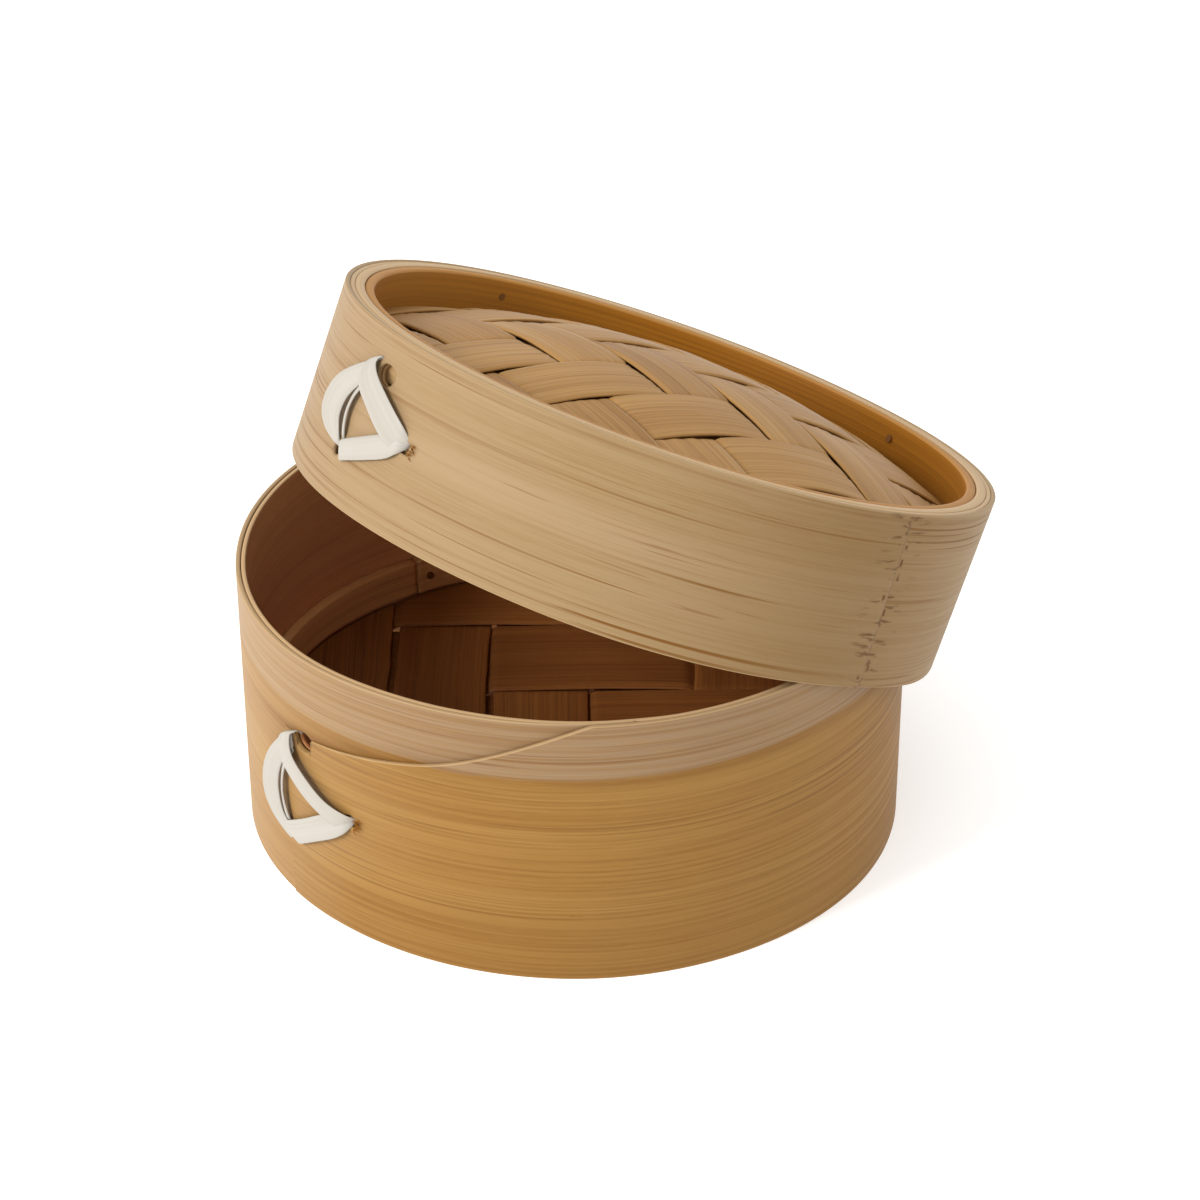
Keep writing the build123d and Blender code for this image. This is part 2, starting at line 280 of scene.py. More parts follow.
def bent_band(name, home, azimuth, outer, thickness, foot, top, closed, seed, rounding=0.3, rows=None,
              hold=None, holes=(), lean=None, marks=None, bulge=None):
    """A bent bamboo sheet or hoop. azimuth, outer, thickness, foot and top are arrays along its length.

    rows are heights on the full wall. Rows above hold are squeezed where the top is lower. lean gives
    the extra azimuth of a point from its station and height, and bulge its extra radius.
    """
    azimuth, outer, thickness, foot, top = np.broadcast_arrays(azimuth, outer, thickness, foot, top)
    rows = np.linspace(foot.min(), top.max(), 10) if rows is None else np.asarray(rows, float)
    hold = rows[0] if hold is None else hold
    corner = np.minimum(rounding, thickness * 0.45)
    low, high = foot + corner, top - corner
    share = np.clip((rows - hold) / (rows[-1] - hold), 0, 1)
    held = low[:, None] + np.clip((rows - rows[0]) / (hold - rows[0] + 1e-9), 0, 1) * (hold - low[:, None])
    upright = np.where(rows[None, :] <= hold, held, hold + share[None, :] * (high[:, None] - hold))
    count = len(rows)

    def stack(columns):
        return np.stack(np.broadcast_arrays(*columns), 1)

    radius = [outer] * count
    height = [upright[:, j] for j in range(count)]
    for inward, upward in corner_rows(True):
        radius.append(outer - corner + corner * inward)
        height.append(high + corner * upward)
    for inward, upward in corner_rows(False):
        radius.append(outer - thickness + corner - corner * inward)
        height.append(high + corner * upward)
    radius += [outer - thickness] * count
    height += [upright[:, j] for j in range(count - 1, -1, -1)]
    for inward, upward in corner_rows(True):
        radius.append(outer - thickness + corner - corner * inward)
        height.append(low - corner * upward)
    for inward, upward in corner_rows(False):
        radius.append(outer - corner + corner * inward)
        height.append(low - corner * upward)
    radius, height = stack(radius), stack(height)
    turns = azimuth[:, None] + np.zeros_like(radius)
    bends = 2 * (CORNER_STEPS - 1)

    def partner(j):
        return 2 * count + bends - 1 - j

    left_out, extra = set(), []
    if holes:
        cells, edges = hole_cells(azimuth, height[:, :count], outer.mean(), holes)
        for i, j in cells:
            left_out |= {(i, j), (i, partner(j + 1))}
        for (a, b), (centre, level, wide, tall) in edges:
            extra.append((a, b, (b[0], partner(b[1])), (a[0], partner(a[1]))))
            for i, j in (a, b):
                along = radians(float(angle_from(turns[i, j], centre))) * outer.mean() / wide
                up = (height[i, j] - level) / tall
                size = sqrt(along**2 + up**2)
                shift = np.degrees(along * (1 / size - 1) * wide / outer.mean())
                for column in (j, partner(j)):
                    turns[i, column] = turns[i, j] if column != j else turns[i, j] + shift
                    height[i, column] = height[i, j] if column != j else level + up / size * tall
    if lean is not None:
        turns = turns + lean(azimuth[:, None], height)
    side = np.zeros_like(radius)
    side[:, count + CORNER_STEPS - 1 : 2 * count + bends + CORNER_STEPS - 1] = 1
    across = np.where(side > 0, 2 * BASKET_HEIGHT - height, height) + (radius - outer[:, None]) * 0.5
    along = np.radians(turns) * outer.mean()
    grain = np.stack([along, across], -1) * MM
    grain = np.concatenate([grain, grain[:, :1]], 1)
    if closed:
        last = grain[:1].copy()
        last[..., 0] += 2 * pi * outer.mean() * MM
        grain = np.concatenate([grain, last])
    edge = np.ones_like(radius)
    edge[:, :count] = 0
    edge[:, count + bends : 2 * count + bends] = 0
    values = {"seed": np.full(radius.shape, float(seed)), "edge": edge}
    for key, function in (marks or {}).items():
        values[key] = function(turns, height)
    if bulge is not None:
        radius = radius + bulge(turns, height)
    sections = home.round(turns, radius, height)
    return sweep(name, sections, grain, values, closed, left_out, extra)


def full_turn(steps=480):
    return np.arange(steps) * 360.0 / steps


def smooth_rows(points, steps):
    """Catmull-Rom curve through rows of numbers."""
    points = np.asarray(points, float)
    padded = np.concatenate([2 * points[:1] - points[1:2], points, 2 * points[-1:] - points[-2:-1]])
    rows = []
    for k in range(1, len(padded) - 2):
        a, b, c, d = padded[k - 1 : k + 3]
        for t in np.arange(steps) / steps:
            bend = (2 * a - 5 * b + 4 * c - d) * t**2
            twist = (3 * b - a - 3 * c + d) * t**3
            rows.append(0.5 * (2 * b + (c - a) * t + bend + twist))
    rows.append(padded[-2])
    return np.array(rows)


def ribbon(name, home, radius, azimuth, rails, seed, thickness=0.42):
    """A flat ribbon between two rails.

    A row of rails is the distance along, height and stand-off of one edge, then of the other.
    """
    path = smooth_rows(rails, 9)
    edges = []
    for first in (0, 3):
        along, height, off = path[:, first], path[:, first + 1], path[:, first + 2]
        edges.append(home.round(azimuth + np.degrees(along / radius), radius + off, height) / MM)
    left, right = edges
    middle = (left + right) / 2
    wide = right - left
    reach = np.linalg.norm(wide, axis=1, keepdims=True)
    wide = wide / reach
    forward = np.gradient(middle, axis=0)
    normal = np.cross(forward, wide)
    normal /= np.linalg.norm(normal, axis=1, keepdims=True)
    centre = len(path) // 2
    angle = radians(azimuth)
    outward = home.axes @ np.array([sin(angle), -cos(angle), 0])
    if normal[centre] @ outward < 0:
        normal = -normal
    columns = 10
    profile = [(-1 + 2 * k / columns, 1.0) for k in range(columns + 1)]
    profile += [(1.05, 0.3), (1.05, -0.3)]
    profile += [(1 - 2 * k / columns, -1.0) for k in range(columns + 1)]
    profile += [(-1.05, -0.3), (-1.05, 0.3)]
    share = np.array([p[0] for p in profile])
    side = np.array([p[1] for p in profile])
    crown = 0.1 * (1 - np.minimum(abs(share), 1) ** 2) * (abs(side) > 0.9)
    edge_drop = np.where(abs(share) > 0.9, 0.82, 1.0)
    lift = (thickness / 2 * side * edge_drop + crown)[None, :, None]
    fibre = 0.02 * np.sin(share * 31 + seed)[None, :, None] * (abs(side) > 0.9)[None, :, None]
    sections = middle[:, None] + wide[:, None] * (share[None, :, None] * reach[:, None] / 2)
    sections = (sections + normal[:, None] * (lift + fibre)) * MM
    length = np.concatenate([[0], np.cumsum(np.linalg.norm(np.diff(middle, axis=0), axis=1))])
    spread_across = np.append(share * reach.mean() / 2 + side * 3, -reach.mean() / 2 + 3.2)
    grain = np.stack(np.broadcast_arrays(length[:, None], spread_across[None, :]), -1) * MM
    values = {
        "seed": np.full(sections.shape[:2], float(seed)),
        "edge": np.broadcast_to(ease(0.75, 1.0, abs(share)), sections.shape[:2]),
        "tone_and_light": np.zeros(sections.shape[:2]),
    }
    return sweep(name, sections, grain, values)


def woven_level(along, crossings, levels, ramp):
    """Height sign of a woven strip along its length, easing from one crossing to the next."""
    value = np.full_like(along, float(levels[0]))
    for number in range(1, len(crossings)):
        joint = crossings[number][0]
        change = levels[number] - levels[number - 1]
        value = value + change * ease(joint - ramp / 2, joint + ramp / 2, along)
    return value


def float_arch(along, crossings, levels):
    """Extra rise of a long float: 1 in its middle and 0 where it dives, signed like its level."""
    arch = np.zeros_like(along)
    start = 0
    for number in range(1, len(crossings) + 1):
        if number == len(crossings) or levels[number] != levels[start]:
            low, high = crossings[start][0], crossings[number - 1][1]
            inside = (along >= low) & (along <= high)
            arch = arch + inside * np.sin(pi * np.clip((along - low) / (high - low), 0, 1)) * levels[start]
            start = number
    return arch


def woven_strip(name, home, turn, runs_along_y, span, gap, crossings, levels, shape, seed):
    """One strip of a mat. shape holds the mat's level, curve and trim radius, and its strips' relief."""
    rng = np.random.default_rng(seed)
    start, end = span
    centre, half = (start + end) / 2, (end - start - gap) / 2
    length_steps, face_steps = 130, 14
    half_thick = STRIP / 2
    profile = [(-1 + 2 * step / face_steps, 1.0) for step in range(face_steps + 1)]
    profile += [(1.0, 0.62), (1.0, 0.0), (1.0, -0.62)]
    profile += [(1 - 2 * step / face_steps, -1.0) for step in range(face_steps + 1)]
    profile += [(-1.0, -0.62), (-1.0, 0.0), (-1.0, 0.62)]
    share = np.array([p[0] for p in profile])
    side = np.array([p[1] for p in profile])
    bulge = np.where(abs(side) < 0.95, half_thick * (1 - 0.6 * abs(side)), 0.0) * np.sign(share)
    t = np.linspace(0, 1, length_steps)[:, None]
    middle = centre + 0.35 * wander(t * 140, seed + 5, 90.0)
    width = half * (1 + shape["uneven"] * wander(t * 140, seed + 9, 60.0))
    across = middle + width * share[None, :] + bulge[None, :]
    trim = shape["trim"]
    reach = np.sqrt(np.clip(trim**2 - np.clip(across, -trim, trim) ** 2, 4.0, None))
    along = reach * (2 * t - 1)
    level = woven_level(along, crossings, levels, shape["ramp"])
    arch = float_arch(along, crossings, levels)
    crown = shape["crown"] * (1 - share[None, :] ** 2)
    lip = shape["lip"] * ease(0.72, 0.98, abs(share))[None, :]
    ridges = 0.05 * wander(across, seed + 21, 3.4) + 0.035 * wander(across, seed + 22, 1.5)
    ridges = shape["ridges"] * ridges
    split = -shape["split"] * np.exp(-((across - middle - width * rng.uniform(-0.2, 0.2)) ** 2) / 0.05)
    relief = (crown + lip + ridges + split) * np.where(side > -0.9, 1, 0)[None, :]
    lift = shape["rise"] * level + shape["arch"] * arch
    curve = shape["curve"]
    slope = 1 / np.sqrt(1 + (2 * curve) ** 2 * (across**2 + along**2))
    height = shape["level"] - curve * (across**2 + along**2)
    height = height + (lift + relief + half_thick * side[None, :]) / slope
    x, y = (across, along) if runs_along_y else (along, across)
    spun = rotation(0, 0, turn)
    sections = home.place(x * spun[0, 0] + y * spun[0, 1], x * spun[1, 0] + y * spun[1, 1], height)
    corner = np.append(share * half + side * 30, -half + 31)
    wide = np.broadcast_to(corner, (length_steps, len(corner)))
    long = np.concatenate([along, along[:, :1]], 1)
    grain = np.stack([long, wide], -1) * MM
    values = {
        "seed": np.full(along.shape, float(seed % 97) + rng.uniform(0, 1)),
        "edge": ease(0.84, 1.0, abs(share))[None, :] + np.zeros_like(along),
        "tone_and_light": np.full(along.shape, rng.uniform(-1, 1)),
        # Painted shade where the strip runs under the strips across it.
        "under_shade": np.clip(-level, 0, 1),
    }
    return sweep(name, sections, grain, values)


def spans(start, pitch, count):
    return [(start + pitch * number, start + pitch * (number + 1)) for number in range(count)]


# ---- materials


def display(red, green, blue):
    """A display colour, 0 to 255, as the linear colour a shader needs."""
    shares = (red / 255, green / 255, blue / 255)
    return tuple(v / 12.92 if v <= 0.04045 else ((v + 0.055) / 1.055) ** 2.4 for v in shares)


class Graph:
    """A material's node graph, with short calls for the nodes that bamboo needs."""

    def __init__(self, name):
        self.material = bpy.data.materials.new(name)
        self.material.use_nodes = True
        self.nodes = self.material.node_tree.nodes
        self.links = self.material.node_tree.links
        self.shader = self.nodes["Principled BSDF"]

    def feed(self, socket, value):
        if isinstance(value, (int, float)):
            socket.default_value = value
        elif isinstance(value, tuple):
            socket.default_value = (*value, 1.0)
        else:
            self.links.new(value, socket)

    def math(self, operation, first, second=0.0, clamp=False):
        node = self.nodes.new("ShaderNodeMath")
        node.operation = operation
        node.use_clamp = clamp
        self.feed(node.inputs[0], first)
        self.feed(node.inputs[1], second)
        return node.outputs[0]

    def mark(self, name):
        node = self.nodes.new("ShaderNodeAttribute")
        node.attribute_name = name
        return node.outputs["Fac"]

    def grain(self):
        """Distance along and across the grain, in metres."""
        uv = self.nodes.new("ShaderNodeUVMap")
        uv.uv_map = "Grain"
        split = self.nodes.new("ShaderNodeSeparateXYZ")
        self.links.new(uv.outputs[0], split.inputs[0])
        return split.outputs[0], split.outputs[1]

    def height(self):
        """Height above the foot, in metres."""
        where = self.nodes.new("ShaderNodeTexCoord")
        split = self.nodes.new("ShaderNodeSeparateXYZ")
        self.links.new(where.outputs["Object"], split.inputs[0])
        return split.outputs[2]

    def noise(self, along, across, detail, salt, rough=0.55):
        """Noise stretched along the grain, with so many features per metre each way."""
        u, v = self.grain()
        join = self.nodes.new("ShaderNodeCombineXYZ")
        self.feed(join.inputs[0], self.math("MULTIPLY", u, along))
        self.feed(join.inputs[1], self.math("MULTIPLY", v, across))
        self.feed(join.inputs[2], self.math("MULTIPLY", self.mark("seed"), salt))
        noise = self.nodes.new("ShaderNodeTexNoise")
        noise.inputs["Scale"].default_value = 1.0
        noise.inputs["Detail"].default_value = detail
        noise.inputs["Roughness"].default_value = rough
        self.links.new(join.outputs[0], noise.inputs["Vector"])
        return noise.outputs["Fac"]

    def step(self, value, low, high):
        """0 below low and 1 above high, smooth between."""
        node = self.nodes.new("ShaderNodeMapRange")
        node.interpolation_type = "SMOOTHSTEP"
        self.feed(node.inputs["Value"], value)
        self.feed(node.inputs["From Min"], low)
        self.feed(node.inputs["From Max"], high)
        return node.outputs[0]

    def scaled(self, value, amount):
        return self.math("MULTIPLY", value, amount)

    def mix(self, factor, first, second):
        node = self.nodes.new("ShaderNodeMix")
        node.data_type = "RGBA"
        self.feed(node.inputs["Factor"], factor)
        colours = [socket for socket in node.inputs if socket.type == "RGBA"]
        self.feed(colours[0], first)
        self.feed(colours[1], second)
        return [socket for socket in node.outputs if socket.type == "RGBA"][0]


def seam_shade_marks(graph):
    """Painted shade of the ragged, broken fibre ends along the lid's seam: short dark steps up the wall and
    dark dashes beside them.
    """
    gap = graph.mark("seam")
    v = graph.grain()[1]
    tread = graph.nodes.new("ShaderNodeMath")
    tread.operation = "FLOOR"
    graph.feed(tread.inputs[0], graph.scaled(v, 620.0))
    jump = graph.nodes.new("ShaderNodeTexWhiteNoise")
    jump.noise_dimensions = "1D"
    graph.feed(jump.inputs["W"], tread.outputs[0])
    offset = graph.scaled(graph.math("SUBTRACT", jump.outputs["Value"], 0.5), 3.4)
    riser = graph.math("ABSOLUTE", graph.math("SUBTRACT", gap, offset))
    riser = graph.math("SUBTRACT", 1.0, graph.step(riser, 0.2, 0.6))
    riser = graph.math("MULTIPLY", riser, graph.step(graph.noise(60, 420, 1, 3.7), 0.44, 0.58))
    near = graph.math("SUBTRACT", 1.0, graph.step(graph.math("ABSOLUTE", gap), 1.5, 9.0))
    dash = graph.math("MULTIPLY", near, graph.step(graph.noise(150, 900, 2, 8.3), 0.57, 0.66))
    return graph.math("MAXIMUM", graph.scaled(riser, 0.95), graph.scaled(dash, 0.85))


def bamboo(name, light, mid, dark, line, pale=None, lines=0.6, fibres=0.35, tone_and_light=0.25, rough=0.5, bump=0.1,
           seam=False, sheen=0.3, edge=None, edge_share=0.15, tint=None, fine=1500, flecks=0.16):
    """Bamboo: soft broad bands, fine fibres and thin dark lines along the grain.

    pale is the colour above the pale line, edge that of cut edges, and tint the colour that a positive tone
    mark gives: a paler random colour on strips, painted light on the walls.
    """
    light, mid, dark, line = (display(*shade) for shade in (light, mid, dark, line))
    edge = light if edge is None else display(*edge)
    tint = light if tint is None else display(*tint)
    graph = Graph(name)
    broad = graph.noise(3.5, 90, 3, 3.1, 0.5)
    colour = graph.mix(graph.step(broad, 0.3, 0.7), mid, light)
    if pale is not None:
        drift = graph.scaled(graph.math("SUBTRACT", graph.noise(7, 1, 1, 0.0), 0.5), 0.007)
        ragged = graph.scaled(graph.math("SUBTRACT", graph.noise(30, 800, 2, 1.3), 0.5), 0.002)
        level = graph.math("ADD", graph.height(), graph.math("ADD", drift, ragged))
        line_height = PALE_LINE * MM
        band = graph.math(
            "MULTIPLY",
            graph.step(level, line_height - 0.004, line_height - 0.0004),
            graph.math("SUBTRACT", 1.0, graph.step(level, line_height - 0.0004, line_height + 0.0004)),
        )
        colour = graph.mix(graph.scaled(band, 0.45), colour, dark)
        above = graph.step(level, line_height - 0.0004, line_height + 0.0005)
        colour = graph.mix(above, colour, display(*pale))
    fibre = graph.noise(9, fine, 4, 5.3, 0.6)
    fleck = graph.noise(130, 2600, 2, 7.7, 0.6)
    colour = graph.mix(graph.scaled(graph.step(fibre, 0.4, 0.66), fibres), colour, dark)
    colour = graph.mix(graph.scaled(graph.step(fleck, 0.45, 0.7), flecks), colour, light)
    thread = graph.noise(9, 1300, 1, 9.9, 0.4)
    patch = graph.noise(10, 60, 2, 2.3, 0.5)
    threads = graph.math("MULTIPLY", graph.step(thread, 0.61, 0.66), graph.step(patch, 0.40, 0.60))
    dash = graph.noise(45, 2200, 1, 6.1, 0.4)
    threads = graph.math("MAXIMUM", threads, graph.scaled(graph.step(dash, 0.70, 0.76), 0.5))
    colour = graph.mix(graph.scaled(threads, lines), colour, line)
    # The tone mark: random per-piece colour on strips, painted light and shade on the walls (paler where
    # lit, darker where shaded).
    shift = graph.scaled(graph.mark("tone_and_light"), tone_and_light)
    colour = graph.mix(graph.math("MAXIMUM", shift, 0.0), colour, tint)
    colour = graph.mix(graph.math("MAXIMUM", graph.scaled(shift, -1.0), 0.0), colour, dark)
    colour = graph.mix(graph.scaled(graph.mark("edge"), edge_share), colour, edge)
    # Dark lines, and painted shade along the basket lap's edge.
    colour = graph.mix(graph.scaled(graph.mark("dark_line_and_shade"), 0.6), colour, line)
    # Painted shade on woven strips where they pass under others.
    colour = graph.mix(graph.scaled(graph.mark("under_shade"), 0.35), colour, dark)
    # Painted shade round the ties' holes, broken up by noise.
    hole_shade = graph.math("MULTIPLY", graph.mark("hole_shade"), graph.step(graph.noise(300, 900, 2, 4.4), 0.35, 0.6))
    colour = graph.mix(graph.scaled(hole_shade, 0.8), colour, line)
    if seam:
        # Painted shade along the lid's seam.
        colour = graph.mix(seam_shade_marks(graph), colour, display(88, 54, 16))
    graph.feed(graph.shader.inputs["Base Color"], colour)
    graph.shader.inputs["Specular IOR Level"].default_value = sheen
    gloss = graph.nodes.new("ShaderNodeMapRange")
    graph.feed(gloss.inputs["Value"], fibre)
    gloss.inputs["To Min"].default_value = rough - 0.1
    gloss.inputs["To Max"].default_value = rough + 0.15
    graph.feed(graph.shader.inputs["Roughness"], gloss.outputs[0])
    relief = graph.math("ADD", fibre, graph.scaled(fleck, 0.6))
    relief = graph.math("SUBTRACT", relief, graph.scaled(threads, 0.7))
    bumps = graph.nodes.new("ShaderNodeBump")
    bumps.inputs["Strength"].default_value = bump
    bumps.inputs["Distance"].default_value = 0.0003
    graph.feed(bumps.inputs["Height"], relief)
    graph.feed(graph.shader.inputs["Normal"], bumps.outputs[0])
    return graph.material


lid_skin = bamboo(
    "lid_skin", (149, 124, 90), (141, 115, 78), (116, 84, 40), (108, 68, 20),
    seam=True, sheen=0.15, lines=0.95, fibres=0.28, flecks=0.4, tint=(164, 137, 110),
    edge=(168, 140, 100), edge_share=0.6,
)
basket_skin = bamboo(
    "basket_skin", (146, 109, 54), (137, 98, 44), (112, 72, 22), (98, 58, 16),
    pale=(139, 113, 84), lines=0.5, fibres=0.5, fine=1250, flecks=0.3,
    edge=(176, 146, 106), edge_share=0.6,
    tint=(176, 146, 106), tone_and_light=0.17, sheen=0.15,
)
inner_skin = bamboo(
    "inner_skin", (216, 152, 98), (202, 135, 86), (160, 94, 48), (108, 60, 24),
    lines=0.35, edge=(182, 152, 112), edge_share=0.9, tint=(228, 168, 114), sheen=0.15,
)
ring_skin = bamboo(
    "ring_skin", (220, 164, 104), (206, 146, 90), (160, 94, 48), (108, 60, 24),
    lines=0.35, tint=(230, 176, 118), sheen=0.15,
)
rim_skin = bamboo(
    "rim_skin", (192, 160, 116), (176, 143, 96), (130, 96, 54), (104, 72, 34),
    lines=0.4, edge_share=0.4,
)
hoop_skin = bamboo(
    "hoop_skin", (152, 98, 26), (136, 84, 18), (100, 60, 14), (76, 44, 12),
    lines=0.45, fibres=0.45, sheen=0.1, edge=(190, 140, 76), edge_share=0.5,
    tint=(190, 134, 60), tone_and_light=0.3,
)
strip_skin = bamboo(
    "strip_skin", (172, 132, 78), (158, 116, 63), (124, 84, 42), (90, 56, 24),
    lines=0.35, fibres=0.5, sheen=0.2,
)
floor_skin = bamboo(
    "floor_skin", (150, 94, 44), (130, 76, 34), (94, 52, 22), (64, 34, 12),
    lines=0.4, fibres=0.5, sheen=0.2,
)
ribbon_skin = bamboo(
    "ribbon_skin",
    (169, 165, 156), (160, 153, 142), (142, 131, 113), (124, 100, 66),
    lines=0.05, fibres=0.14, rough=0.45,
)
peg_skin = bamboo(
    "peg_skin", (120, 76, 30), (104, 64, 24), (76, 46, 18), (52, 30, 12),
    lines=0.3,
)


def finish_piece(piece, home, slot_name, material, *nodes_replaced):
    """Gives a piece its material, hangs it on the empty of the body that it rides on, and hides the CAD
    nodes that it stands in for.
    """
    piece.data.materials.clear()
    piece.data.materials.append(material)
    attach(piece, home.body)
    if nodes_replaced:
        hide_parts(*nodes_replaced)
    return piece


# ---- basket


def lap_edge(azimuth):
    """Upper edge of the outer sheet's end: it slopes down from the rim towards the tie."""
    share = np.clip((LAP_TOP - azimuth) / (LAP_TOP - LAP_FOOT), 0, 1)
    fall = BASKET_HEIGHT - LAP_HEIGHT
    slope = 0.82 * (1 - (1 - share) ** 2) + 0.18 * ease(0.0, 0.5, share) - 0.09 * np.sin(pi * share)
    return BASKET_HEIGHT - fall * slope


def scarf(azimuth):
    """Thickness of the outer sheet's end, which is thinned towards the tie."""
    return SHEET - 0.98 * (1 - ease(LAP_FOOT, LAP_FOOT + 28, azimuth))


def squeeze(azimuth):
    """How far the inner sheet stands in, where the outer sheet lies double."""
    turned = angle_from(azimuth, 0)
    under = (scarf(turned) + LAP_CLEARANCE) * ease(LAP_FOOT - LAP_RISE, LAP_FOOT, turned)
    under = under - END_THINNING * ease(LAP_FOOT + 36, LAP_FOOT + 64, turned)
    return under * (1 - ease(LAP_FOOT + 64, LAP_FOOT + 74, turned))


def basket_round(azimuth, height=30.0):
    """How far the wall is out of round."""
    tall = height / BASKET_HEIGHT
    left = (0.2 + 1.6 * tall) * swell(azimuth, -132, 48)
    front_left = -0.5 * (1 - tall) * swell(azimuth, -38, 50)
    right = 0.5 * (1 - tall) * swell(azimuth, 58, 40)
    return left + front_left + right + 0.12 * round_wander(azimuth, 11)


def basket_bulge(turns, height):
    """Extra radius of the wall against its shape at mid height."""
    return basket_round(turns, height) - basket_round(turns)


def tie_hole_shade(hole, radius, shift=1.8, reach=2.2):
    """Painted shade round a point beside a tie's hole, brown and frayed."""

    def mark(turns, height):
        along = np.radians(angle_from(turns, hole[0])) * radius
        far = np.sqrt((along - shift) ** 2 + (height - hole[1]) ** 2) / reach
        return 1 - ease(0.3, 1.0, far)

    return mark


def basket_light_and_tone(turns, height):
    """Painted light: the outer sheet is paler at the left, where the key light falls. It is also paler near
    the rim at the right, and browner near the foot.
    """
    side = 2.0 * swell(turns, -75, 60) + 1.2 * ease(45, 58, height) * swell(turns, 70, 50)
    return side - 1.4 * (1 - ease(8, 28, height)) * swell(turns, 0, 80)


def inner_painted_light(turns, height):
    """Painted light: the inner sheet is paler at the left, where light falls on the inside of the wall."""
    return 2.4 * swell(turns, -105, 62)


def lap_shade(turns, height):
    """Painted shade: a brown line on the sheet beneath, along the lap's sloping edge, where the end casts
    its shadow.
    """
    under = turns - 360
    near = np.exp(-(((height - lap_edge(under) - 0.5) / 2.2) ** 2))
    return near * swell(under, -44, 34) * (turns > LAP_FOOT + 340)


def hole_spots(holes, slack=0.9):
    """Where the stations along and up a wall must be close together to draw the holes."""
    along, up = [], []
    for azimuth, height, wide, tall in holes:
        for lap in (-360, 0, 360):
            along.append((azimuth + lap, np.degrees((wide + slack) / BASKET_RADIUS)))
        up.append((height, tall + slack))
    return along, up


def top_notch(turn, top, hole):
    """Lets the tie's top hole bite into the sloping edge of the outer sheet."""
    along = np.radians(turn - hole[0]) * BASKET_RADIUS / hole[2]
    inside = abs(along) < 1
    floor = hole[1] - hole[3] * np.sqrt(np.clip(1 - along**2, 0, 1))
    return np.where(inside & (turn < 0), np.minimum(top, floor), top)


def make_basket_sheets():
    along, up = hole_spots(BASKET_HOLES)
    rows = stations(0, BASKET_HEIGHT, 3.2, 0.42, up + [(BASKET_HEIGHT - 1.0, 1.0)])
    turn = stations(LAP_FOOT, LAP_FOOT + 360 + LAP_TURN, 0.75, 0.34, along)
    doubled = ease(LAP_FOOT + 360 - LAP_RISE, LAP_FOOT + 360, turn)
    beneath = np.where(turn > LAP_FOOT + 180, (scarf(turn - 360) + LAP_CLEARANCE) * doubled, 0.0)
    outer = BASKET_RADIUS - beneath + basket_round(turn)
    thinned = END_THINNING * ease(LAP_FOOT + 396, LAP_FOOT + 424, turn)
    thickness = np.where(turn < 90, scarf(turn), SHEET) - thinned
    top = np.where(turn < LAP_TOP + 1, lap_edge(turn), BASKET_HEIGHT)
    top = top_notch(turn, top, BASKET_HOLES[0]) + 0.1 * round_wander(turn, 13, (5, 9, 14))
    # Marks: painted shade beside the tie's side hole, painted light at the left with the sheet's tone, and
    # painted shade along the lap's edge.
    marks = {"hole_shade": tie_hole_shade(BASKET_HOLES[2], BASKET_RADIUS), "tone_and_light": basket_light_and_tone, "dark_line_and_shade": lap_shade}
    wall = bent_band(
        "basket_outer_wall", basket_home, turn, outer, thickness, 0.0, top, False, 1,
        rows=rows, hold=36.0, holes=BASKET_HOLES, marks=marks, bulge=basket_bulge,
    )
    finish_piece(wall, basket_home, "bamboo_sheet", basket_skin, "basket_outer_sheet")
    turn = stations(-180, 179.25, 0.75, 0.34, along)
    outer = BASKET_RADIUS - SHEET - SHEET_GAP - squeeze(turn) + basket_round(turn)
    top = BASKET_HEIGHT - 0.15 + 0.1 * round_wander(turn, 17, (4, 7, 12))
    wall = bent_band(
        "basket_inner_wall", basket_home, turn, outer, SHEET - 0.05, 0.15, top, True, 2,
        rows=rows, holes=BASKET_HOLES[:1], bulge=basket_bulge,
        # Painted light at the left, and painted shade round the tie's top hole, seen through the outer
        # sheet.
        marks={"tone_and_light": inner_painted_light, "hole_shade": tie_hole_shade(BASKET_HOLES[0], BASKET_RADIUS, 0.0, 6.0)},
    )
    finish_piece(wall, basket_home, "bamboo_sheet", inner_skin, "basket_inner_sheet")


def make_basket_rings():
    turn = np.linspace(RING_JOINT, RING_JOINT + 359.6, 480)
    outer = WALL_IN - 0.08 - squeeze(turn) + basket_round(turn)
    for name, (thick, foot, top), node, seed in (
        ("basket_upper_ring", RETAINING_RING, "basket_retaining_ring", 3),
        ("basket_lower_ring", SUPPORT_RING, "basket_support_ring", 4),
    ):
        uneven = top + 0.15 * round_wander(turn, seed + 5)
        ring = bent_band(
            name, basket_home, turn, outer, thick, foot, uneven, False, seed,
            # The rings get the inner sheet's painted light.
            rounding=0.6, bulge=basket_bulge, marks={"tone_and_light": inner_painted_light},
        )
        finish_piece(ring, basket_home, "bamboo_hoop", ring_skin, node)


